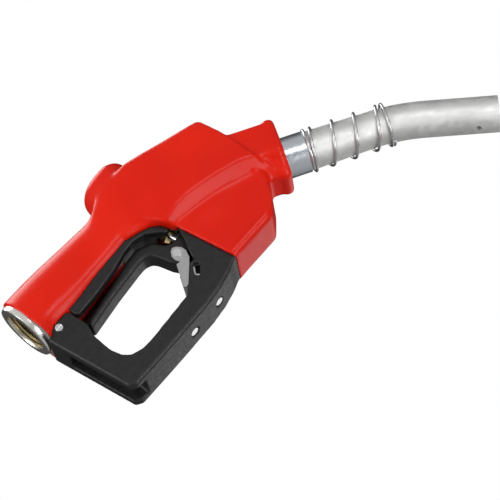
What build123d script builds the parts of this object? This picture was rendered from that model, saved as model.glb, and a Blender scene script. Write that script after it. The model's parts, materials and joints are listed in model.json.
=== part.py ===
from build123d import *
import os
from math import atan2, cos, degrees, radians, sin

# Automatic shut-off fuel nozzle. Millimetres. The origin is the centre of the
# hose inlet's mouth, +X runs forward along the grip, +Z is up towards the
# poppet cap and the nozzle is symmetric about the plane Y = 0.

# ---------------------------------------------------------------- dimensions
# inlet, 3/4 in pipe thread
ring_r = 19.9
thread_major_r = 13.22
thread_minor_r = 12.06
thread_pitch = 1.814
thread_length = 16.0
bore_r = 10.5
cover_start = 4.0

# moulded cover
wall = 2.6
body_half_width = 24.2
skirt_half_width = 17.2
collar_half_width = 21.6
body_rounding = 4.5
lip_rounding = 3.0

# poppet cap and main valve
valve_x = 107.0
dome_r = 19.4
dome_top = 36.0
seat_z = 2.0
seat_r = 9.5
stem_r = 3.0

# spout
collar_tilt = 32.3
tip_tilt = 49.0
collar_x = 195.5
collar_z = -52.4
collar_front = -3.0
neck_step = 1.3
spout_r = 11.9
spout_base_r = 12.7
spout_bore_r = 10.1
spout_straight = 55.0
spout_bend_r = 124.0
spout_tip_length = 46.9
spout_socket_depth = 24.0
ferrule_r = 13.5
ferrule_reach = 11.4
vent_from_tip = 13.5
vent_r = 1.9

# guard and lever
guard_half_width = 14.4
guard_bottom = -85.5
slot_half_width = 7.8
lever_half_width = 7.2
pivot_x = 133.0
pivot_z = -43.0
rivet_x = 96.6
rivet_z = -43.6

# shut-off column, tilted from +Z towards +X
column_tilt = 18.1
running_gap = 0.05


# --------------------------------------------------------------------- frames
def along(angle):
    """A unit direction in the XZ plane, angle degrees below +X."""
    return Vector(cos(radians(angle)), 0, -sin(radians(angle)))


spout_dir = along(collar_tilt)
tip_dir = along(tip_tilt)
column_dir = Vector(sin(radians(column_tilt)), 0, cos(radians(column_tilt)))
collar_face = Vector(collar_x, 0, collar_z)
pivot = Vector(pivot_x, 0, pivot_z)


def spout_plane(distance):
    """The plane across the spout's axis, at a distance ahead of the collar."""
    return Plane(collar_face + spout_dir * distance, x_dir=(0, 1, 0), z_dir=spout_dir)


def column_plane(height):
    """The plane across the shut-off column, at a height above the lever pin."""
    return Plane(pivot + column_dir * height, x_dir=(0, 1, 0), z_dir=column_dir)


def side_plane(y):
    """A plane parallel to XZ whose extrusions run towards +Y."""
    return Plane((0, y, 0), x_dir=(1, 0, 0), z_dir=(0, 1, 0))


def side(points):
    """Side-view points (x, z) as points of side_plane, whose local y is -z."""
    return [(x, -z) for x, z in points]


def finish(part, name):
    """Label a piece and write it out."""
    part.label = name
    export_step(part, f"parts/{name}.step")
    print(f"{name:24s} {part.volume:10.1f} mm3")


os.makedirs("parts", exist_ok=True)

# ------------------------------------------------------------- moulded outline
grip_sections = [
    # x, half width, top, bottom, lower corner radius
    (cover_start, 21.6, 21.8, -23.2, 8.0),
    (9.0, 20.8, 21.9, -20.8, 11.0),
    (16.0, 20.3, 22.0, -20.2, 12.5),
    (45.0, 18.2, 20.9, -17.6, 8.5),
    (66.0, 17.5, 19.6, -16.3, 8.0),
    (86.0, 17.8, 18.7, -14.2, 7.5),
    (104.0, 19.0, 19.0, -14.5, 6.0),
]
body_side = [
    (76, -3), (78, 12), (88, 19), (101, 22), (121, 20.4), (147.3, 11.3), (173, 3.2), (175.5, -14.5),
    (175, -52),
]
skirt_side = [
    (80, -8), (82.5, -14.5), (91.3, -17.2), (99, -20.6), (104.5, -26), (108, -34), (113.9, -77.8),
    (150, -77.8), (160.4, -69.2), (172, -55.5), (172.6, -44), (160, -18), (110, -2),
]
body_plan = [
    (72, skirt_half_width), (90, 18.4), (104, 20.6), (118, 23.4), (130, body_half_width),
    (166, body_half_width), (190, collar_half_width),
]
collar_section = [
    (-collar_half_width, 20.2), (collar_half_width, 20.2), (collar_half_width, -4), (11.5, -20.2),
    (-11.5, -20.2), (-collar_half_width, -4),
]


def grip_form(inset):
    """The grip, lofted through its sections, each face moved in by inset."""
    with BuildPart() as form:
        for x, half_width, top, bottom, corner in grip_sections:
            w = half_width - inset
            t = top - inset
            b = bottom + inset
            c = corner - inset * 0.5
            with BuildSketch(Plane((x, 0, 0), x_dir=(0, 1, 0), z_dir=(1, 0, 0))):
                with BuildLine():
                    ThreePointArc((-w, t - w), (0, t), (w, t - w))
                    Line((w, t - w), (w, b + c))
                    RadiusArc((w, b + c), (w - c, b), c)
                    Line((w - c, b), (c - w, b))
                    RadiusArc((c - w, b), (-w, b + c), c)
                    Line((-w, b + c), (-w, t - w))
                make_face()
        loft()
    return form.part


def body_form(inset, rounding):
    """The wide upper body, with the sloped band along each lower edge."""
    with BuildPart() as form:
        with BuildSketch(side_plane(-body_half_width + inset)):
            with BuildLine():
                Polyline(*side(body_side))
                ThreePointArc(*side([(175, -52), (146, -41), (107, -33)]))
                Polyline(*side([(107, -33), (98, -14), (86, -8), (76, -3)]))
            make_face()
            if inset:
                offset(amount=-inset, kind=Kind.INTERSECTION)
        extrude(amount=2 * (body_half_width - inset))
        lower = form.edges().filter_by(GeomType.CIRCLE).sort_by(Axis.Y)
        for edge in (lower[0], lower[-1]):
            bottom_face = form.faces().filter_by(GeomType.CYLINDER)[0]
            chamfer(edge, length=body_half_width - skirt_half_width, length2=8.5, reference=bottom_face)
        with BuildSketch(Plane.XY.offset(-80)):
            with BuildLine():
                upper = Polyline(*body_plan)
                Line((190, collar_half_width), (190, -collar_half_width))
                mirror(upper, about=Plane.XZ)
                Line((72, -skirt_half_width), (72, skirt_half_width))
            make_face()
            if inset:
                offset(amount=-inset, kind=Kind.INTERSECTION)
        extrude(amount=120, mode=Mode.INTERSECT)
        if rounding:
            top_edges = form.edges().filter_by(lambda e: e.center().Z > 3 and abs(e.center().Y) > 15)
            top_edges = top_edges.filter_by(lambda e: e.center().X > valve_x - 3)
            fillet(top_edges, rounding)
    return form.part


def skirt_form(inset, rounding):
    """The narrow lower body that hangs down round the front of the guard."""
    half = skirt_half_width - inset
    with BuildPart() as form:
        with BuildSketch(side_plane(-half)):
            with BuildLine():
                Polyline(*side(skirt_side), close=True)
            make_face()
            if inset:
                offset(amount=-inset, kind=Kind.INTERSECTION)
        extrude(amount=2 * half)
        if rounding:
            rims = form.edges().filter_by(lambda e: abs(abs(e.center().Y) - half) < 0.1)
            fillet(rims.filter_by(lambda e: e.center().X > 113 and e.center().Z < -40), rounding)
            rims = form.edges().filter_by(lambda e: abs(abs(e.center().Y) - half) < 0.1)
            fillet(rims.filter_by(lambda e: e.center().X < 102 and -20 < e.center().Z < -11), rounding * 0.6)
    return form.part


def collar_form(inset, rounding):
    """The block that carries the spout: a front lip and a slightly slimmer neck behind it."""
    with BuildPart() as form:
        for back, front, slimmer in ((-34, -9.5, neck_step), (-9.5, collar_front, 0)):
            with BuildSketch(spout_plane(back)):
                with BuildLine():
                    Polyline(*collar_section, close=True)
                make_face()
                offset(amount=-inset - slimmer - 0.01, kind=Kind.INTERSECTION)
            extrude(amount=front - back - inset if front == collar_front else front - back)
        if rounding:
            front_face = form.faces().sort_by(Axis((0, 0, 0), tuple(spout_dir)))[-1]
            long_edges = form.edges().filter_by(Axis((0, 0, 0), tuple(spout_dir)))
            lip_edges = long_edges.filter_by(lambda e: e.length < 8)
            fillet(lip_edges + front_face.edges(), rounding)
    return form.part


def dome_form(inset):
    """The domed poppet cap on the valve's axis."""
    r = dome_r - inset
    top = dome_top - inset
    with BuildPart() as form:
        with BuildSketch(Plane.XZ):
            with BuildLine():
                Polyline((0, 5), (r, 5), (r, 27))
                Spline((r, 27), (r * 0.74, top - 2.6), (0, top), tangents=[(0, 1), (-1, 0)])
                Line((0, top), (0, 5))
            make_face()
        revolve(axis=Axis.Z)
    return form.part.moved(Location((valve_x, 0, 0)))


def whole_form(inset, rounding):
    """The nozzle's moulded form, all its blocks joined."""
    with BuildPart() as form:
        add(grip_form(inset))
        add(body_form(inset, rounding))
        add(skirt_form(inset, rounding))
        add(collar_form(inset, min(rounding, lip_rounding)))
        add(dome_form(inset))
    return form.part


outer_form = whole_form(0, body_rounding)
inner_form = whole_form(wall, 0)


# ------------------------------------------------------------------ hand guard
bay_half_width = 9.2
rack_x = (60.0, 99.0)
rack_top = -76.3
rack_plate = 2.2
rack_cheek = (9.6, 11.4)
rack_clearance = 0.2
rack_side = [(89.4, -77.3), (99, -77.3), (99, -60.5), (96.5, -58.2), (93.6, -58.4), (89.4, -62.3)]
rack_notch = [(95.6, -59.4), (98.6, -61.4), (92.9, -66.3), (91.4, -63.9)]
rivet_places = [(64.0, -85.1), (89.0, -83.8)]
fastener_r = 1.5
screw_x = 11.6
screw_z = -22.3
bolt_x = 141.0
bolt_z = -56.0
guard_side = [
    (4.4, -16.6), (23.3, -18.1), (24.5, -33.7), (20.8, -43.6), (19.8, -56.8), (21.6, -64.9), (25.0, -69.4),
    (31.9, -72.0), (39, -72.6), (76.1, -70.3), (84.5, -64.2), (93.6, -56.9), (98, -57.4), (99.6, -53.4),
    (108.2, -36.4), (110, -34.2), (138, -34.2), (147, -46), (148, -62), (140, -72), (117.5, -72),
    (117, -76.6), (111, -78.2), (104.5, -80.8), (93, -83.4), (80, -84.8), (60, -85.2), (40, guard_bottom),
    (12.2, guard_bottom), (7.9, -82.6), (0.9, -21.9), (4.2, -21.2),
]
window_side = [(94.4, -58.6), (97.9, -61.7), (91.2, -67.9), (89.7, -64.9)]
bay_side = [(77, -76), (77, -60), (100, -30), (144, -30), (144, -60), (112, -76)]


def slab(points, half_width, larger=0.0):
    """A side-view outline given thickness evenly about the mid-plane, and grown by larger."""
    with BuildPart() as plate:
        with BuildSketch(side_plane(-half_width)):
            Polygon(*side(points), align=None)
            if larger:
                offset(amount=larger, kind=Kind.INTERSECTION)
        extrude(amount=2 * half_width)
    return plate.part


def block(x, y, z):
    """A box from its (low, high) limits on each axis."""
    with BuildPart() as solid:
        with Locations(((x[0] + x[1]) / 2, (y[0] + y[1]) / 2, (z[0] + z[1]) / 2)):
            Box(x[1] - x[0], y[1] - y[0], z[1] - z[0])
    return solid.part


def cross_rod(x, z, radius, y):
    """A cylinder along Y between two (low, high) values of y."""
    with BuildPart() as solid:
        with BuildSketch(side_plane(y[0])):
            with Locations((x, -z)):
                Circle(radius)
        extrude(amount=y[1] - y[0])
    return solid.part


def upright(x, radius, z, y=0.0):
    """A cylinder along Z between two (low, high) values of z."""
    with BuildPart() as solid:
        with BuildSketch(Plane((x, y, z[0]))):
            Circle(radius)
        extrude(amount=z[1] - z[0])
    return solid.part


def tube(plane, outer, inner, length):
    """A ring or a tube standing on a plane; inner 0 makes it solid."""
    with BuildPart() as solid:
        with BuildSketch(plane):
            Circle(outer)
            if inner:
                Circle(inner, mode=Mode.SUBTRACT)
        extrude(amount=length)
    return solid.part


def coil(plane, radius, wire, length, turns):
    """A compression spring standing on a plane; radius is that of its centre line."""
    pitch = (length - 2 * wire) / turns
    with BuildPart() as spring:
        with BuildLine():
            Helix(pitch, pitch * turns, radius, center=(0, 0, wire))
        with BuildSketch(Plane((radius, 0, wire), x_dir=(1, 0, 0), z_dir=(0, 1, 0))):
            Circle(wire)
        sweep(is_frenet=True)
        for z in (wire, length - wire):
            with Locations((0, 0, z)):
                Torus(radius, wire)
    return plane * spring.part


guard_envelope = slab(guard_side, guard_half_width)
with BuildPart() as hand_guard:
    add(guard_envelope)
    rims = hand_guard.edges().filter_by(lambda e: abs(abs(e.center().Y) - guard_half_width) < 0.1)
    chamfer(rims.filter_by(lambda e: e.center().Z < -80 or e.center().X < 12), 1.2)
    # the hollow rear column, open to the back and round the lower corner
    column_hollow = [(-2, -36), (30, -36), (30, -64), (20, -69), (18, -90), (-2, -90)]
    add(slab(column_hollow, slot_half_width), mode=Mode.SUBTRACT)
    add(block((17, 30), (-8.7, 8.7), (-52, -28)), mode=Mode.SUBTRACT)
    # the bay for the lever's nose, the clip and the rack, and the window over the rack's end
    add(slab(bay_side, bay_half_width), mode=Mode.SUBTRACT)
    add(slab(window_side, 15), mode=Mode.SUBTRACT)
    add(slab(rack_side, rack_cheek[1] + rack_clearance, rack_clearance), mode=Mode.SUBTRACT)
    rack_slot_x = (rack_x[0] - rack_clearance, rack_x[1] + rack_clearance)
    add(block(rack_slot_x, (-11.6, 11.6), (rack_top - rack_plate, -75.4)), mode=Mode.SUBTRACT)
    for x, z in rivet_places:
        add(upright(x, 3.3, (z - 4, z + 2.4)), mode=Mode.SUBTRACT)
        add(upright(x, fastener_r, (z - 4, -74)), mode=Mode.SUBTRACT)
    # the casting's rear lug, its screws and the bolt at the front
    add(block((6.5, 17), (-5, 5), (-25, -10)), mode=Mode.SUBTRACT)
    add(cross_rod(screw_x, screw_z, fastener_r, (-20, 20)), mode=Mode.SUBTRACT)
    add(cross_rod(bolt_x, bolt_z, fastener_r, (-20, 20)), mode=Mode.SUBTRACT)
finish(hand_guard.part, "hand_guard")

with BuildPart() as hold_open_rack:
    add(slab(rack_side, rack_cheek[1]))
    add(block((80, 110), (-rack_cheek[0], rack_cheek[0]), (-80, -50)), mode=Mode.SUBTRACT)
    add(slab(rack_notch, 15), mode=Mode.SUBTRACT)
    add(block(rack_x, (-rack_cheek[1], rack_cheek[1]), (rack_top - rack_plate, rack_top)))
    for x, z in rivet_places:
        add(upright(x, fastener_r, (-80, -70)), mode=Mode.SUBTRACT)
finish(hold_open_rack.part, "hold_open_rack")

with BuildPart() as rack_rivets:
    for x, z in rivet_places:
        add(upright(x, fastener_r, (z + 2, -75.2)))
        add(upright(x, 2.5, (-76.3, -75.5)))
        add(upright(x, 2.9, (z + 0.5, z + 2.4)))
finish(rack_rivets.part, "rack_rivets")

with BuildPart() as guard_screws:
    for s in (-1, 1):
        add(cross_rod(screw_x, screw_z, fastener_r, sorted((s * 1.0, s * 14.6))))
        add(cross_rod(screw_x, screw_z, 2.5, sorted((s * 14.4, s * 15.5))))
        add(block((screw_x - 3, screw_x + 3), sorted((s * 15.0, s * 16)), (screw_z - 0.35, screw_z + 0.35)),
            mode=Mode.SUBTRACT)
finish(guard_screws.part, "guard_screws")

finish(cross_rod(bolt_x, bolt_z, fastener_r, (-guard_half_width, guard_half_width)), "guard_front_bolt")

# ------------------------------------------------------------------ lever
lever_side = [
    (26.4, -34.6), (53.7, -30.8), (74.8, -28.8), (80.8, -28.6), (85, -30.6), (87.3, -34.2), (89.6, -43.8),
    (91.5, -47.5), (97, -49.4), (112, -45.5), (127, -48), (133, -49.5), (138.5, -46.5),
    (139.5, -43), (138, -38.5), (132, -36.6), (101, -35.6), (97, -33.5), (92.4, -24.4), (83.5, -19.8),
    (72.8, -20.8), (52.2, -24.8), (28.5, -29.4), (25.6, -31.5),
]
with BuildPart() as lever:
    add(slab(lever_side, lever_half_width))
    rims = lever.edges().filter_by(lambda e: abs(abs(e.center().Y) - lever_half_width) < 0.1)
    chamfer(rims.filter_by(lambda e: e.center().X < 88 and e.center().Z > -42), 1.2)
    add(slab([(121, -20), (145, -20), (145, -60), (121, -60)], 4.9), mode=Mode.SUBTRACT)
    add(cross_rod(pivot_x, pivot_z, 2.5, (-20, 20)), mode=Mode.SUBTRACT)
    add(cross_rod(rivet_x, rivet_z, 2.0, (-20, 20)), mode=Mode.SUBTRACT)
finish(lever.part, "lever")
finish(cross_rod(pivot_x, pivot_z, 2.5, (-lever_half_width, lever_half_width)), "lever_pin")

clip_side = [
    (94.9, -39.8), (97.4, -38.8), (99.6, -40.2), (101.4, -43.4), (101.4, -46.9), (99.0, -51.6),
    (84.8, -63.6), (81.6, -64.0), (81.0, -62.2), (90.2, -48.6), (93.1, -49.3), (92.0, -46.0), (92.6, -42.6),
]
clip_plate = (7.4, 8.5)
with BuildPart() as hold_open_clip:
    add(slab(clip_side, clip_plate[1]))
    add(slab([(70, -30), (110, -30), (110, -70), (70, -70)], clip_plate[0]), mode=Mode.SUBTRACT)
    add(cross_rod(rivet_x, rivet_z, 2.0 + running_gap, (-20, 20)), mode=Mode.SUBTRACT)
finish(hold_open_clip.part, "hold_open_clip")

with BuildPart() as clip_rivet:
    add(cross_rod(rivet_x, rivet_z, 2.0, (-8.6, 8.6)))
    for low, high in [(-9.0, -8.55), (8.55, 9.0)]:
        add(cross_rod(rivet_x, rivet_z, 2.8, (low, high)))
finish(clip_rivet.part, "clip_rivet")

# ------------------------------------------------------------------ casting and its cavities
lug = block((6.5, 17), (-5, 5), (-25, -14))
latch_ring_r = 8.5
column_r = 9.4
spring_bore_r = 7.3
plunger_r = 4.6
diaphragm_r = 16.5
cap_plug_r = 15.4
packing_r = 5.5
check_bore_r = 11.0
wide_chamber_low = 14.0
wide_chamber_high = 30.0

with BuildPart() as body_casting:
    add(inner_form)
    add(block((94, 152), (-20, 20), (-80, -34)), mode=Mode.SUBTRACT)
    add(guard_envelope, mode=Mode.SUBTRACT)
    add(lug)
    add(cross_rod(screw_x, screw_z, fastener_r, (-6, 6)), mode=Mode.SUBTRACT)
    add(tube(Plane.YZ.offset(cover_start), 15.5, 0, 20), mode=Mode.SUBTRACT)
    add(tube(Plane.YZ.offset(20), bore_r, 0, 66), mode=Mode.SUBTRACT)
    rise = Plane((82, 0, 2), z_dir=(17, 0, 11))
    add(tube(rise, 7.5, 0, 20), mode=Mode.SUBTRACT)
    # main valve
    add(upright(valve_x, cap_plug_r, (seat_z, 30)), mode=Mode.SUBTRACT)
    add(upright(valve_x, dome_r, (24, 40)), mode=Mode.SUBTRACT)
    add(upright(valve_x, seat_r, (-4, seat_z)), mode=Mode.SUBTRACT)
    add(upright(valve_x, 10.0, (-14, -3)), mode=Mode.SUBTRACT)
    add(upright(valve_x, packing_r, (-45, -14)), mode=Mode.SUBTRACT)
    add(upright(valve_x, 7.4, (-45, -24.5)), mode=Mode.SUBTRACT)
    # the way forward to the spout, round the shut-off column
    add(tube(Plane((107, 0, -7), z_dir=(51, 0, -23)), 6.8, 0, 57), mode=Mode.SUBTRACT)
    wide_chamber = column_plane(wide_chamber_low) * Box(
        28, 32, wide_chamber_high - wide_chamber_low, align=(Align.CENTER, Align.CENTER, Align.MIN),
        mode=Mode.PRIVATE
    )
    add(wide_chamber, mode=Mode.SUBTRACT)
    add(tube(column_plane(11), column_r, 0, 22))
    add(tube(column_plane(8), plunger_r + running_gap, 0, 45), mode=Mode.SUBTRACT)
    add(tube(column_plane(5), spring_bore_r, 0, 22), mode=Mode.SUBTRACT)
    add(tube(column_plane(32), latch_ring_r, 0, 20), mode=Mode.SUBTRACT)
    add(tube(column_plane(40.5), 14.5, 0, 20), mode=Mode.SUBTRACT)
    add(tube(column_plane(46), 17.6, 0, 20), mode=Mode.SUBTRACT)
    # spout socket and check valve bore
    add(tube(spout_plane(-24), ferrule_r, 0, 30), mode=Mode.SUBTRACT)
    add(tube(spout_plane(-44), check_bore_r, 0, 24), mode=Mode.SUBTRACT)
finish(body_casting.part, "body_casting")

with BuildPart() as scuff_cover:
    add(outer_form)
    add(inner_form, mode=Mode.SUBTRACT)
    add(guard_envelope, mode=Mode.SUBTRACT)
    add(block((98, 146), (-guard_half_width, guard_half_width), (-73.5, -34)), mode=Mode.SUBTRACT)
    add(lug, mode=Mode.SUBTRACT)
    add(upright(valve_x, 9.0, (-45, -12)), mode=Mode.SUBTRACT)
    add(tube(spout_plane(-6), ferrule_r + 0.4, 0, 12), mode=Mode.SUBTRACT)
finish(scuff_cover.part, "scuff_cover")

# ------------------------------------------------------------------ inlet
with BuildPart() as inlet_ring:
    with BuildSketch(Plane.XZ):
        with BuildLine():
            outline = [(0.7, ring_r), (cover_start, ring_r), (cover_start, 15.5), (20, 15.5)]
            outline += [(20, thread_minor_r)]
            crest = thread_pitch * 0.12
            turns = int(thread_length / thread_pitch)
            for i in range(turns, 0, -1):
                x = 2.0 + i * thread_pitch
                outline += [(x, thread_minor_r), (x - thread_pitch / 2, thread_major_r)]
                outline += [(x - thread_pitch / 2 - crest, thread_major_r)]
                outline += [(x - thread_pitch + crest, thread_minor_r)]
            outline += [(0.5, thread_minor_r), (0, thread_minor_r + 0.5), (0, ring_r - 0.7)]
            Polyline(*outline, close=True)
        make_face()
    revolve(axis=Axis.X)
finish(inlet_ring.part, "inlet_ring")

strainer_start = 24.0
strainer_length = 34.0
with BuildPart() as inlet_strainer:
    add(tube(Plane.YZ.offset(strainer_start), bore_r - 0.1, bore_r - 0.8, strainer_length))
    add(tube(Plane.YZ.offset(strainer_start + strainer_length - 0.8), bore_r - 0.2, 0, 0.8))
    for row in range(5):
        for step in range(8):
            angle = step * 45 + row * 22.5
            outward = (0, cos(radians(angle)), sin(radians(angle)))
            hole = Plane((strainer_start + 5 + row * 6, 0, 0), z_dir=outward)
            add(tube(hole, 1.6, 0, 14), mode=Mode.SUBTRACT)
finish(inlet_strainer.part, "inlet_strainer")

rail_side = [
    (24.6, -9), (24.6, -24), (26.5, -25.6), (44, -24.6), (62, -22.4), (76, -19.2), (84, -18.6), (92, -20.8),
    (98.5, -27), (102, -31.5), (104, -31), (104.5, -17), (90, -9),
]
arch_side = [(74, -12), (74, -16.4), (84, -16.2), (92, -18.8), (99.5, -23), (104, -21), (98, -12)]
rail_inner = 8.6
rail_outer = 14.4
with BuildPart() as grip_insulator:
    add(slab(rail_side, rail_outer))
    add(block((0, 120), (-rail_inner, rail_inner), (-40, 0)), mode=Mode.SUBTRACT)
    add(slab(arch_side, rail_outer))
    add(outer_form, mode=Mode.SUBTRACT)
    add(guard_envelope, mode=Mode.SUBTRACT)
finish(grip_insulator.part, "grip_insulator")

# ------------------------------------------------------------------ main valve
with BuildPart() as poppet_cap:
    add(dome_form(wall))
    add(upright(valve_x, dome_r + 1, (0, 24)), mode=Mode.SUBTRACT)
    add(upright(valve_x, cap_plug_r, (16, 25)))
    add(upright(valve_x, 12.6, (10, 28)), mode=Mode.SUBTRACT)
finish(poppet_cap.part, "poppet_cap")

with BuildPart() as cap_o_ring:
    with Locations((valve_x, 0, 15.0)):
        Torus(14.3, 1.0)
finish(cap_o_ring.part, "cap_o_ring")

with BuildPart() as poppet_seal:
    add(upright(valve_x, 11.6, (seat_z, seat_z + 1.6)))
    add(upright(valve_x, 5.0, (seat_z - 1, seat_z + 2)), mode=Mode.SUBTRACT)
finish(poppet_seal.part, "poppet_seal")

poppet_top = 7.0
with BuildPart() as poppet:
    add(upright(valve_x, 12.0, (seat_z + 1.6, poppet_top)))
    add(upright(valve_x, 4.6, (poppet_top, 14)))
    add(upright(valve_x, stem_r, (seat_z, 5)), mode=Mode.SUBTRACT)
finish(poppet.part, "poppet")

spring_seat = Plane((valve_x, 0, poppet_top))
finish(coil(spring_seat, 6.4, 0.8, 28 - poppet_top, 6), "poppet_spring")

with BuildPart() as main_stem:
    add(upright(valve_x, stem_r, (-34.0, 5)))
    with Locations((valve_x, 0, -34.0)):
        Sphere(stem_r)
    add(upright(valve_x, 5, (-45, -34.9)), mode=Mode.SUBTRACT)
finish(main_stem.part, "main_stem")

finish(tube(Plane((valve_x, 0, -20)), packing_r, stem_r + running_gap, 6), "stem_seal")

with BuildPart() as packing_nut:
    with BuildSketch(Plane((valve_x, 0, -28.5))):
        RegularPolygon(6.6, 6)
    extrude(amount=4)
    add(upright(valve_x, packing_r, (-26, -20)))
    add(upright(valve_x, stem_r + running_gap, (-30, -18)), mode=Mode.SUBTRACT)
finish(packing_nut.part, "packing_nut")

# ------------------------------------------------------------------ shut-off column
with BuildPart() as plunger:
    add(tube(column_plane(-5.5), plunger_r, 0, 46.5))
    add(tube(column_plane(25), spring_bore_r - 0.15, 0, 2))
    add(cross_rod(pivot_x, pivot_z, 2.5, (-20, 20)), mode=Mode.SUBTRACT)
    add(tube(column_plane(30), 1.45, 0, 20), mode=Mode.SUBTRACT)
    for step in range(3):
        turned = column_plane(38.5) * Rot(0, 0, 120 * step) * Rot(0, 90, 0)
        add(turned * Cylinder(1.55, 8, align=(Align.CENTER, Align.CENTER, Align.MIN), mode=Mode.PRIVATE),
            mode=Mode.SUBTRACT)
finish(plunger.part, "plunger")

with BuildPart() as latch_balls:
    for step in range(3):
        add(column_plane(38.5) * Rot(0, 0, 120 * step) * Pos(3.0, 0, 0) * Sphere(1.5, mode=Mode.PRIVATE))
finish(latch_balls.part, "latch_balls")

finish(tube(column_plane(8), spring_bore_r, plunger_r + running_gap, 3.5), "plunger_bushing")
finish(tube(column_plane(32), latch_ring_r, plunger_r + running_gap, 5), "latch_ring")
finish(coil(column_plane(11.5), 5.9, 0.7, 13.5, 4), "plunger_spring")

with BuildPart() as latch_pin:
    add(tube(column_plane(31), 1.4, 0, 17.5))
    add(tube(column_plane(44.5), 3.0, 0, 1.0))
finish(latch_pin.part, "latch_pin")
finish(tube(column_plane(46), 17.5, 1.5, 0.8), "diaphragm")
finish(tube(column_plane(46.9), 8.0, 1.4, 1.2), "diaphragm_plate")
finish(coil(column_plane(48.1), 5.0, 0.5, 3.6, 2), "diaphragm_spring")
with BuildPart() as vacuum_cap:
    add(tube(column_plane(46.9), 17.5, 14.5, 3))
    add(tube(column_plane(48), 17.5, 0, 4.5))
    add(tube(column_plane(46), 14.5, 0, 5.7), mode=Mode.SUBTRACT)
finish(vacuum_cap.part, "vacuum_cap")

# ------------------------------------------------------------------ spout
path_start = collar_face + spout_dir * -22.0
bend_start = collar_face + spout_dir * spout_straight


def spout_path(start, offset_down):
    """The spout's centre line in the XZ plane from a distance before or after the collar."""
    down = Vector(-sin(radians(collar_tilt)), 0, -cos(radians(collar_tilt))) * offset_down
    a = collar_face + spout_dir * start + down
    b = bend_start + down
    with BuildLine(Plane.XZ) as path:
        first = Line((a.X, a.Z), (b.X, b.Z))
        bend = JernArc(first @ 1, first % 1, spout_bend_r - offset_down, collar_tilt - tip_tilt)
        Line(bend @ 1, (bend @ 1) + (bend % 1) * spout_tip_length)
    return path


def piped(path, start_plane, radius):
    """A solid round bar along a path."""
    with BuildPart() as bar:
        with BuildSketch(start_plane):
            Circle(radius)
        sweep(path=path.wires()[0])
    return bar.part


centre_path = spout_path(-22, 0)
with BuildPart() as spout:
    add(piped(centre_path, spout_plane(-22), spout_r))
    with BuildSketch(spout_plane(-22)):
        Circle(spout_base_r)
    with BuildSketch(spout_plane(ferrule_reach)):
        Circle(spout_base_r)
    loft()
    with BuildSketch(spout_plane(ferrule_reach)):
        Circle(spout_base_r)
    with BuildSketch(spout_plane(spout_straight)):
        Circle(spout_r)
    loft()
    add(piped(centre_path, spout_plane(-22), spout_bore_r), mode=Mode.SUBTRACT)
    # the shut-off vent, near the tip on the underside and a little to the near side
    tip_start = Vector((centre_path.wires()[0] @ 1).X, 0, (centre_path.wires()[0] @ 1).Z)
    vent_centre = tip_start - tip_dir * vent_from_tip
    down = Vector(-sin(radians(tip_tilt)), 0, -cos(radians(tip_tilt)))
    toward_vent = down * cos(radians(13)) + Vector(0, -1, 0) * sin(radians(13))
    add(tube(Plane(vent_centre, z_dir=toward_vent), vent_r, 0, 20), mode=Mode.SUBTRACT)
finish(spout.part, "spout")

vent_offset = 7.4
with BuildPart() as vent_tube:
    vent_path = spout_path(-13, vent_offset)
    vent_start = spout_plane(-13) * Pos(0, -vent_offset, 0)
    add(piped(vent_path, vent_start, 2.2))
    add(piped(vent_path, vent_start, 1.4), mode=Mode.SUBTRACT)
    add(tube(Plane(vent_centre - tip_dir * 3, z_dir=tip_dir), 12, 0, 60), mode=Mode.SUBTRACT)
finish(vent_tube.part, "vent_tube")

finish(tube(spout_plane(-20), ferrule_r, spout_base_r + 0.02, 20 + ferrule_reach), "spout_ferrule")
with BuildPart() as spout_o_ring:
    add(spout_plane(-22.9) * Torus(12.4, 0.9, mode=Mode.PRIVATE))
finish(spout_o_ring.part, "spout_o_ring")

# ------------------------------------------------------------------ anchor spring
wire_r = 1.0
anchor_r = spout_base_r + wire_r + 0.05
anchor_start = ferrule_reach + 1.2
anchor_pitch = 15.1
anchor_turns = 3
dead_pitch = 1.8
with BuildPart() as spout_spring:
    with BuildLine():
        Helix(anchor_pitch, anchor_pitch * anchor_turns, anchor_r, lefthand=True)
    with BuildSketch(Plane((anchor_r, 0, 0), x_dir=(1, 0, 0), z_dir=(0, 1, 0))):
        Circle(wire_r)
    sweep(is_frenet=True)
    for z in (-dead_pitch, 0, anchor_pitch * anchor_turns, anchor_pitch * anchor_turns + dead_pitch):
        with Locations((0, 0, z)):
            Torus(anchor_r, wire_r)
finish(spout_plane(anchor_start + dead_pitch) * Rot(0, 0, 90) * spout_spring.part, "spout_spring")

# ------------------------------------------------------------------ check valve
finish(tube(spout_plane(-42), check_bore_r, 6.5, 4), "check_valve_seat")
with BuildPart() as check_poppet:
    add(tube(spout_plane(-38), 8.4, 0, 2))
    add(tube(spout_plane(-36), 1.5, 0, 19))
finish(check_poppet.part, "check_poppet")
finish(coil(spout_plane(-36), 3.4, 0.5, 16, 5), "check_spring")
with BuildPart() as check_guide:
    add(tube(spout_plane(-20), spout_bore_r, 8.2, 2))
    add(tube(spout_plane(-20), 4.6, 1.5 + running_gap, 2))
    for step in range(3):
        arm = spout_plane(-20) * Rot(0, 0, 120 * step + 30) * Pos(6.4, 0, 1)
        add(arm * Box(4.4, 2.2, 2, mode=Mode.PRIVATE))
finish(check_guide.part, "check_guide")
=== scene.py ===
import json
import math

import bpy
import numpy as np
from mathutils import Matrix, Vector
from mathutils.bvhtree import BVHTree


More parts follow.
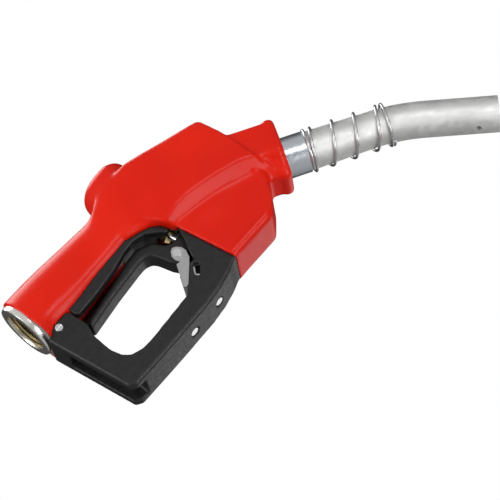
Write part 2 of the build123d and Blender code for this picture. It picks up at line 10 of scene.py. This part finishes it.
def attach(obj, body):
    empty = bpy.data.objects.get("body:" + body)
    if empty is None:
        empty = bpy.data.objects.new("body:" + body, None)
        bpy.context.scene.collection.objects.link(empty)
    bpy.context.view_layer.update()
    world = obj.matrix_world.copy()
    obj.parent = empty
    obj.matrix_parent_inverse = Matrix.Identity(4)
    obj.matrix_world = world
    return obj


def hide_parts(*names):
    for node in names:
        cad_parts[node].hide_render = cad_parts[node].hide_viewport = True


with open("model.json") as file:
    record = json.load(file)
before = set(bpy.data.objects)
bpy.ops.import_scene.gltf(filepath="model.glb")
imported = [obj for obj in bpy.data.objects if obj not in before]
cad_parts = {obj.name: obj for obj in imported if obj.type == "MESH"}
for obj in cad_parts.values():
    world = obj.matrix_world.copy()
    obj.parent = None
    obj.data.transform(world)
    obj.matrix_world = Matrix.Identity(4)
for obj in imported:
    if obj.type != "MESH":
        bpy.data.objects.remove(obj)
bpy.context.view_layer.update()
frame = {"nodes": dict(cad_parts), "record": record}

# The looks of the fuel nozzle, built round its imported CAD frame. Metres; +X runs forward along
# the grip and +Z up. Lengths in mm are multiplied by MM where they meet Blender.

MM = 0.001
nodes = frame["nodes"]


# ------------------------------------------------------------------ node helpers
class Shader:
    """A material's node tree, with short calls for the nodes that the finishes share."""

    def __init__(self, name):
        self.material = bpy.data.materials.new(name)
        self.material.use_nodes = True
        self.tree = self.material.node_tree
        self.shader = self.tree.nodes["Principled BSDF"]
        self.coords = self.tree.nodes.new("ShaderNodeTexCoord").outputs["Object"]

    def set(self, **values):
        for key, value in values.items():
            self.shader.inputs[key.replace("_", " ")].default_value = value

    def link(self, source, target):
        self.tree.links.new(source, target)

    def noise(self, scale, detail=3.0, rough=0.5, stretch=None):
        node = self.tree.nodes.new("ShaderNodeTexNoise")
        node.inputs["Scale"].default_value = scale
        node.inputs["Detail"].default_value = detail
        node.inputs["Roughness"].default_value = rough
        source = self.coords
        if stretch:
            mapping = self.tree.nodes.new("ShaderNodeMapping")
            mapping.inputs["Rotation"].default_value = stretch[0]
            mapping.inputs["Scale"].default_value = stretch[1]
            self.link(source, mapping.inputs["Vector"])
            source = mapping.outputs["Vector"]
        self.link(source, node.inputs["Vector"])
        return node.outputs["Fac"]

    def ramp(self, source, stops):
        node = self.tree.nodes.new("ShaderNodeValToRGB")
        ramp = node.color_ramp
        while len(ramp.elements) < len(stops):
            ramp.elements.new(0.5)
        for element, (place, colour) in zip(ramp.elements, stops):
            element.position = place
            element.color = (*colour, 1.0) if len(colour) == 3 else colour
        self.link(source, node.inputs["Fac"])
        return node.outputs["Color"]

    def span(self, source, low, high):
        node = self.tree.nodes.new("ShaderNodeMapRange")
        node.inputs["From Min"].default_value = 0.25
        node.inputs["From Max"].default_value = 0.75
        node.inputs["To Min"].default_value = low
        node.inputs["To Max"].default_value = high
        self.link(source, node.inputs["Value"])
        return node.outputs["Result"]

    def bump(self, layers):
        """Chained bumps from (height source, distance in mm, strength)."""
        last = None
        for source, distance, strength in layers:
            node = self.tree.nodes.new("ShaderNodeBump")
            node.inputs["Distance"].default_value = distance * MM
            node.inputs["Strength"].default_value = strength
            self.link(source, node.inputs["Height"])
            if last is not None:
                self.link(last, node.inputs["Normal"])
            last = node.outputs["Normal"]
        self.link(last, self.shader.inputs["Normal"])


def red_vinyl():
    s = Shader("red_vinyl")
    tone = s.ramp(s.noise(18, 2), [(0.3, (0.60, 0.008, 0.001)), (0.7, (0.69, 0.012, 0.0015))])
    s.link(tone, s.shader.inputs["Base Color"])
    s.link(s.span(s.noise(60, 4), 0.26, 0.40), s.shader.inputs["Roughness"])
    s.bump([(s.noise(35, 2), 1.2, 0.25), (s.noise(900, 2), 0.05, 0.2)])
    s.set(Coat_Weight=0.08, Coat_Roughness=0.15, Specular_IOR_Level=0.15)
    return s.material


def black_moulding():
    s = Shader("black_moulding")
    tone = s.ramp(s.noise(220, 5), [(0.3, (0.005, 0.005, 0.0055)), (0.75, (0.011, 0.011, 0.0115))])
    s.link(tone, s.shader.inputs["Base Color"])
    s.link(s.span(s.noise(400, 4), 0.34, 0.52), s.shader.inputs["Roughness"])
    s.bump([(s.noise(1500, 3), 0.12, 0.5), (s.noise(50, 2), 0.5, 0.15)])
    s.set(Specular_IOR_Level=0.4)
    return s.material


def metal(name, colour, rough, grain=900.0, depth=0.04, stretch=None):
    s = Shader(name)
    dark = tuple(c * 0.86 for c in colour)
    s.link(s.ramp(s.noise(70, 5), [(0.3, dark), (0.7, colour)]), s.shader.inputs["Base Color"])
    sheen = s.span(s.noise(grain * 0.5, 4, stretch=stretch), rough * 0.8, rough * 1.25)
    s.link(sheen, s.shader.inputs["Roughness"])
    s.bump([(s.noise(grain, 3, stretch=stretch), depth, 0.6)])
    s.set(Metallic=1.0)
    return s.material


def seal_rubber():
    s = Shader("seal_rubber")
    tone = s.ramp(s.noise(300, 4), [(0.3, (0.01, 0.01, 0.01)), (0.8, (0.025, 0.025, 0.025))])
    s.link(tone, s.shader.inputs["Base Color"])
    s.link(s.span(s.noise(500, 4), 0.5, 0.7), s.shader.inputs["Roughness"])
    return s.material


def valve_plastic():
    s = Shader("valve_plastic")
    tone = s.ramp(s.noise(200, 3), [(0.3, (0.62, 0.60, 0.54)), (0.8, (0.72, 0.70, 0.65))])
    s.link(tone, s.shader.inputs["Base Color"])
    s.link(s.span(s.noise(400, 4), 0.4, 0.55), s.shader.inputs["Roughness"])
    return s.material


def ring_metal():
    """A turned ring, bright outside with the casting's brassy tone inside its bore."""
    s = Shader("ring_metal")
    across = s.tree.nodes.new("ShaderNodeVectorMath")
    across.operation = "MULTIPLY"
    across.inputs[1].default_value = (0, 1, 1)
    s.link(s.coords, across.inputs[0])
    radius = s.tree.nodes.new("ShaderNodeVectorMath")
    radius.operation = "LENGTH"
    s.link(across.outputs["Vector"], radius.inputs[0])
    inside = s.tree.nodes.new("ShaderNodeMapRange")
    inside.inputs["From Min"].default_value = 13.6 * MM
    inside.inputs["From Max"].default_value = 14.9 * MM
    s.link(radius.outputs["Value"], inside.inputs["Value"])
    brass = s.ramp(s.noise(160, 4), [(0.3, (0.42, 0.33, 0.15)), (0.7, (0.62, 0.50, 0.25))])
    bright = s.ramp(s.noise(90, 4), [(0.3, (0.86, 0.85, 0.80)), (0.7, (0.93, 0.92, 0.88))])
    mix = s.tree.nodes.new("ShaderNodeMix")
    mix.data_type = "RGBA"
    s.link(inside.outputs["Result"], mix.inputs["Factor"])
    s.link(brass, mix.inputs[6])
    s.link(bright, mix.inputs[7])
    s.link(mix.outputs[2], s.shader.inputs["Base Color"])
    s.link(s.span(s.noise(500, 4), 0.18, 0.30), s.shader.inputs["Roughness"])
    s.bump([(s.noise(900, 3), 0.03, 0.5)])
    s.set(Metallic=1.0)
    return s.material


materials = {
    "red_vinyl": red_vinyl(),
    "black_moulding": black_moulding(),
    "cast_body": metal("cast_body", (0.55, 0.55, 0.55), 0.5),
    "spout_metal": metal("spout_metal", (0.77, 0.77, 0.76), 0.54, 420, 0.10),
    "ferrule_metal": metal("ferrule_metal", (0.70, 0.74, 0.79), 0.24),
    "ring_metal": ring_metal(),
    "clip_steel": metal("clip_steel", (0.60, 0.60, 0.60), 0.30),
    "spring_steel": metal("spring_steel", (0.62, 0.62, 0.62), 0.30),
    "pin_steel": metal("pin_steel", (0.86, 0.86, 0.86), 0.26),
    "brass_fittings": metal("brass_fittings", (0.66, 0.52, 0.24), 0.30),
    "seal_rubber": seal_rubber(),
    "valve_plastic": valve_plastic(),
}
slot_of = {s["node"]: s["material_slot"] for s in frame["record"]["subparts"]}
for name, node in nodes.items():
    node.data.materials.clear()
    node.data.materials.append(materials[slot_of[name]])


# ------------------------------------------------------------------ softened mouldings
relax_weight = 0.7
dome_blend_weight = 0.9             # the cover runs into the dome more softly than its edges are rounded
dome_blend_passes = 60
skirt_recess = 0.9                  # mm that the skirt's side lies inside the rim round it


def read_points(mesh):
    points = np.empty(len(mesh.vertices) * 3)
    mesh.vertices.foreach_get("co", points)
    return points.reshape(-1, 3)


def remeshed(name, voxel):
    """An evenly meshed copy of a CAD node, voxel in mm."""
    draft = bpy.data.objects.new(name + "_draft", nodes[name].data.copy())
    bpy.context.scene.collection.objects.link(draft)
    modifier = draft.modifiers.new("even", "REMESH")
    modifier.mode = "VOXEL"
    modifier.voxel_size = voxel * MM
    ready = draft.evaluated_get(bpy.context.evaluated_depsgraph_get())
    mesh = bpy.data.meshes.new_from_object(ready)
    bpy.data.objects.remove(draft)
    piece = bpy.data.objects.new(name + "_soft", mesh)
    bpy.context.scene.collection.objects.link(piece)
    mesh.materials.clear()
    mesh.materials.append(materials[slot_of[name]])
    return piece


def relax(mesh, points, weight, passes):
    """Move each point towards its neighbours' mean, by weight, over and over."""
    ends = np.empty(len(mesh.edges) * 2, dtype=np.int64)
    mesh.edges.foreach_get("vertices", ends)
    a, b = ends.reshape(-1, 2).T
    count = len(points)
    degree = np.bincount(a, minlength=count) + np.bincount(b, minlength=count)
    for _ in range(passes):
        total = np.stack([np.bincount(a, points[b, k], count) + np.bincount(b, points[a, k], count)
                          for k in range(3)], axis=1)
        points = points + (total / degree[:, None] - points) * weight[:, None]
    return points


def write_points(piece, points):
    piece.data.vertices.foreach_set("co", points.ravel())
    piece.data.shade_smooth()
    piece.data.update()


def ease(value, low, high):
    """0 below low and 1 above high, with a smooth change between them."""
    t = np.clip((value - low) / (high - low), 0, 1)
    return t * t * (3 - 2 * t)


def gap_to(name, points, reach):
    """Each point's distance in mm from a CAD node's surface, up to a reach."""
    mesh = nodes[name].data
    tree = BVHTree.FromPolygons([v.co for v in mesh.vertices], [tuple(p.vertices) for p in mesh.polygons])
    gaps = np.full(len(points), float(reach))
    for i, point in enumerate(points):
        found = tree.find_nearest(point, reach * MM)
        if found[3] is not None:
            gaps[i] = found[3] / MM
    return gaps


def outline_distance(x, z, corners):
    """Distance in mm from points of the side view to a line through the corners."""
    best = np.full(len(x), 1e9)
    for (x0, z0), (x1, z1) in zip(corners, corners[1:]):
        run = np.hypot(x1 - x0, z1 - z0)
        along = np.clip(((x - x0) * (x1 - x0) + (z - z0) * (z1 - z0)) / run, 0, run) / run
        best = np.minimum(best, np.hypot(x - x0 - along * (x1 - x0), z - z0 - along * (z1 - z0)))
    return best


def passes_for(radius, voxel):
    """How many relaxing passes round an edge to a radius, on a mesh of this voxel size."""
    return max(1, round(2 * (radius / voxel) ** 2 / relax_weight))


def soften(name, voxel, rounding, crisp, keep=None):
    """A copy of a node with its edges rounded, in mm; only by crisp where keep gives 0."""
    piece = remeshed(name, voxel)
    points = read_points(piece.data)
    weight = np.full(len(points), relax_weight)
    points = relax(piece.data, points, weight, passes_for(crisp, voxel))
    if keep is not None:
        weight = weight * keep(points)
    points = relax(piece.data, points, weight, passes_for(rounding, voxel))
    write_points(piece, points)
    return piece


def stand_in(piece, name):
    """Show a piece in place of a CAD node, moving with that node's body."""
    body = next(b for b, members in frame["record"]["behaviour"]["bodies"].items() if name in members)
    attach(piece, body)
    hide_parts(name)


def cover_keep(points):
    """The cover's edges stay crisp beside the hand guard and at the inlet."""
    seam = ease(gap_to("hand_guard", points, 4), 0.6, 4)
    mouth = ease(points[:, 0] / MM, 5.5, 9)
    return seam * mouth


cover = soften("scuff_cover", 0.85, 1.7, 0.6, cover_keep)
points = read_points(cover.data)
x, y, z = (points / MM).T
behind_dome = ease(x, 66, 74) * (1 - ease(x, 106, 114)) * ease(z, -6, 2)
points = relax(cover.data, points, dome_blend_weight * behind_dome, dome_blend_passes)
x, y, z = (points / MM).T
front_and_chin = [(172.6, -44), (172, -55.5), (160.4, -69.2), (150, -77.8), (116, -77.8)]
inside = ease(outline_distance(x, z, front_and_chin), 4.6, 6.6)
side_face = ease(np.abs(y), 13.5, 15.0) * (1 - ease(np.abs(y), 17.8, 19.0))
side_face = side_face * ease(x, 112, 122) * ease(-z, 40, 52)
points[:, 1] -= np.sign(y) * inside * side_face * skirt_recess * MM
write_points(cover, points)
stand_in(cover, "scuff_cover")

stand_in(soften("hand_guard", 0.6, 0.6, 0.6), "hand_guard")
stand_in(soften("grip_insulator", 0.55, 0.5, 0.5), "grip_insulator")
stand_in(soften("lever", 0.5, 1.1, 0.5, lambda p: 1 - ease(p[:, 0] / MM, 84, 92)), "lever")


# ------------------------------------------------------------------ inlet ring
def lathe(name, profile, material, segments=128):
    """A closed profile of (x, radius) in mm turned about the X axis."""
    corners = [Vector((x * MM, radius * MM, 0)) for x, radius in profile]
    verts = []
    for step in range(segments):
        turned = Matrix.Rotation(2 * math.pi * step / segments, 3, "X")
        verts += [turned @ corner for corner in corners]
    count = len(profile)
    faces = []
    for step in range(segments):
        a, b = step * count, (step + 1) % segments * count
        faces += [(a + i, a + (i + 1) % count, b + (i + 1) % count, b + i) for i in range(count)]
    mesh = bpy.data.meshes.new(name)
    mesh.from_pydata(verts, [], faces)
    mesh.materials.append(material)
    mesh.shade_smooth()
    mesh.set_sharp_from_angle(angle=math.radians(35))
    piece = bpy.data.objects.new(name, mesh)
    bpy.context.scene.collection.objects.link(piece)
    return piece


ring_r, mouth_r, groove_r, crest_r, land_r = 19.9, 14.5, 14.0, 13.1, 12.06
thread_pitch, thread_turns = 1.814, 8
profile = [(4.0, ring_r), (4.0, 15.5), (20.0, 15.5), (20.0, land_r), (17.5, land_r)]
for turn_back in range(thread_turns):
    x = 17.0 - turn_back * thread_pitch
    profile += [(x, crest_r), (x - 0.2, crest_r), (x - 0.8, groove_r), (x - 1.2, groove_r)]
profile += [(1.6, mouth_r - 0.5), (0.5, mouth_r), (0.0, mouth_r + 0.4)]
profile += [(0.0, ring_r - 1.0), (0.3, ring_r - 0.3), (1.0, ring_r)]
stand_in(lathe("inlet_ring_turned", profile, materials["ring_metal"]), "inlet_ring")


# ------------------------------------------------------------------ anchor spring
collar_tilt = math.radians(32.3)
spout_dir = Vector((math.cos(collar_tilt), 0, -math.sin(collar_tilt)))
spout_up = Vector((math.sin(collar_tilt), 0, math.cos(collar_tilt)))
collar_face = Vector((195.5, 0, -52.4))
wire_r, coil_r = 0.95, 13.8
first_ring, spring_turns, steps_per_turn = 12.5, 6, 48
closed_pitch, open_pitch = 1.9, 14.9

steps = spring_turns * steps_per_turn
turn = np.linspace(0, spring_turns, steps + 1)
opened = ease(turn, 1.0, 1.4) * (1 - ease(turn, 4.35, 4.75))
ahead = np.cumsum(closed_pitch + (open_pitch - closed_pitch) * opened) / steps_per_turn
curve = bpy.data.curves.new("spout_spring_wire", "CURVE")
curve.dimensions = "3D"
curve.bevel_depth = wire_r * MM
curve.bevel_resolution = 5
curve.use_fill_caps = True
wire = curve.splines.new("POLY")
wire.points.add(steps)
for i in range(steps + 1):
    angle = turn[i] * 2 * math.pi
    around = -spout_up * math.cos(angle) - Vector((0, 1, 0)) * math.sin(angle)
    at = collar_face + spout_dir * (first_ring + float(ahead[i])) + around * coil_r
    wire.points[i].co = (*(at * MM), 1)
draft = bpy.data.objects.new("spring_draft", curve)
bpy.context.scene.collection.objects.link(draft)
spring_mesh = bpy.data.meshes.new_from_object(draft.evaluated_get(bpy.context.evaluated_depsgraph_get()))
bpy.data.objects.remove(draft)
spring_mesh.shade_smooth()
spring_mesh.materials.clear()
spring_mesh.materials.append(materials["spring_steel"])
spring = bpy.data.objects.new("spout_spring_wound", spring_mesh)
bpy.context.scene.collection.objects.link(spring)
stand_in(spring, "spout_spring")


# ------------------------------------------------------------------ camera
view_direction = Vector((0.32, 0.87, 0.38)).normalized()
roll = math.radians(48)            # the picture's right-hand side turned from the nozzle's forward axis
distance = 1.236                   # from the lens to the inlet's mouth, along the view
lens_ratio = 4.0                   # focal length over the width of the film
inlet_left = 0.1126                # tangent from the view's centre to the inlet, to the left
inlet_down = 0.0415                # and downwards

forward = (Vector((1, 0, 0)) - view_direction * view_direction.x).normalized()
upward = forward.cross(view_direction)
if upward.z < 0:
    upward = -upward
right = math.cos(roll) * forward - math.sin(roll) * upward
up = math.sin(roll) * forward + math.cos(roll) * upward
camera = bpy.data.objects.new("camera", bpy.data.cameras.new("camera"))
camera.data.sensor_width = 36
camera.data.lens = 36 * lens_ratio
camera.data.clip_start = 0.05
axes = Matrix((right, up, -view_direction)).transposed()
place = -(view_direction - inlet_left * right - inlet_down * up) * distance
camera.matrix_world = Matrix.Translation(place) @ axes.to_4x4()
bpy.context.scene.collection.objects.link(camera)
bpy.context.scene.camera = camera


# ------------------------------------------------------------------ studio
middle = Vector((0.15, 0, -0.04))
lamps = [
    # name, place from the nozzle's middle, width, watts
    ("key", (0.15, -0.70, -1.0), 0.75, 6.6),
    ("fill", (-0.9, -0.6, 0.5), 0.9, 6.4),
    ("top", (0.2, 0.2, 1.2), 0.9, 8),
    ("strip", (0.3, -1.13, -0.22), 0.45, 2.6),
    ("below", (0.38, 1.0, -0.5), 0.8, 1.4),
]
for name, offset, width, watts in lamps:
    light = bpy.data.objects.new(name, bpy.data.lights.new(name, "AREA"))
    light.data.shape = "DISK"
    light.data.size = width
    light.data.energy = watts
    light.location = middle + Vector(offset)
    light.rotation_euler = (middle - light.location).to_track_quat("-Z", "Y").to_euler()
    bpy.context.scene.collection.objects.link(light)

world = bpy.data.worlds.new("studio")
world.use_nodes = True
tree = world.node_tree
backdrop = tree.nodes["Background"]
backdrop.inputs["Color"].default_value = (1, 1, 1, 1)
backdrop.inputs["Strength"].default_value = 1.0
room = tree.nodes.new("ShaderNodeBackground")
room.inputs["Color"].default_value = (1, 1, 1, 1)
# what the object reflects is pale in front of it and darker behind it, which draws its edges
facing = tree.nodes.new("ShaderNodeVectorMath")
facing.operation = "DOT_PRODUCT"
facing.inputs[1].default_value = view_direction
tree.links.new(tree.nodes.new("ShaderNodeTexCoord").outputs["Generated"], facing.inputs[0])
shade = tree.nodes.new("ShaderNodeMapRange")
shade.interpolation_type = "SMOOTHSTEP"
shade.inputs["From Min"].default_value = -0.1
shade.inputs["From Max"].default_value = 0.75
shade.inputs["To Min"].default_value = 0.55
shade.inputs["To Max"].default_value = 0.06
tree.links.new(facing.outputs["Value"], shade.inputs["Value"])
tree.links.new(shade.outputs["Result"], room.inputs["Strength"])
seen = tree.nodes.new("ShaderNodeLightPath")
mix = tree.nodes.new("ShaderNodeMixShader")
tree.links.new(seen.outputs["Is Camera Ray"], mix.inputs["Fac"])
tree.links.new(room.outputs["Background"], mix.inputs[1])
tree.links.new(backdrop.outputs["Background"], mix.inputs[2])
tree.links.new(mix.outputs["Shader"], tree.nodes["World Output"].inputs["Surface"])
bpy.context.scene.world = world

floor_mesh = bpy.data.meshes.new("floor")
reach = 4.0
floor_z = -1.5
floor_mesh.from_pydata(
    [(x, y, floor_z) for x, y in ((-reach, -reach), (reach, -reach), (reach, reach), (-reach, reach))],
    [], [(0, 1, 2, 3)])
floor = bpy.data.objects.new("floor", floor_mesh)
bpy.context.scene.collection.objects.link(floor)
pale = Shader("pale_floor")
pale.link(pale.ramp(pale.noise(3, 2), [(0.3, (0.80, 0.80, 0.80)), (0.7, (0.84, 0.84, 0.84))]),
          pale.shader.inputs["Base Color"])
# seen straight, the floor is paler than the light it gives the nozzle
straight = pale.tree.nodes.new("ShaderNodeMath")
straight.operation = "MULTIPLY"
straight.inputs[1].default_value = 0.4
pale.link(pale.tree.nodes.new("ShaderNodeLightPath").outputs["Is Camera Ray"], straight.inputs[0])
pale.link(straight.outputs["Value"], pale.shader.inputs["Emission Strength"])
pale.set(Roughness=0.8, Emission_Color=(1, 1, 1, 1))
floor_mesh.materials.append(pale.material)

bpy.context.scene.view_settings.view_transform = "Standard"
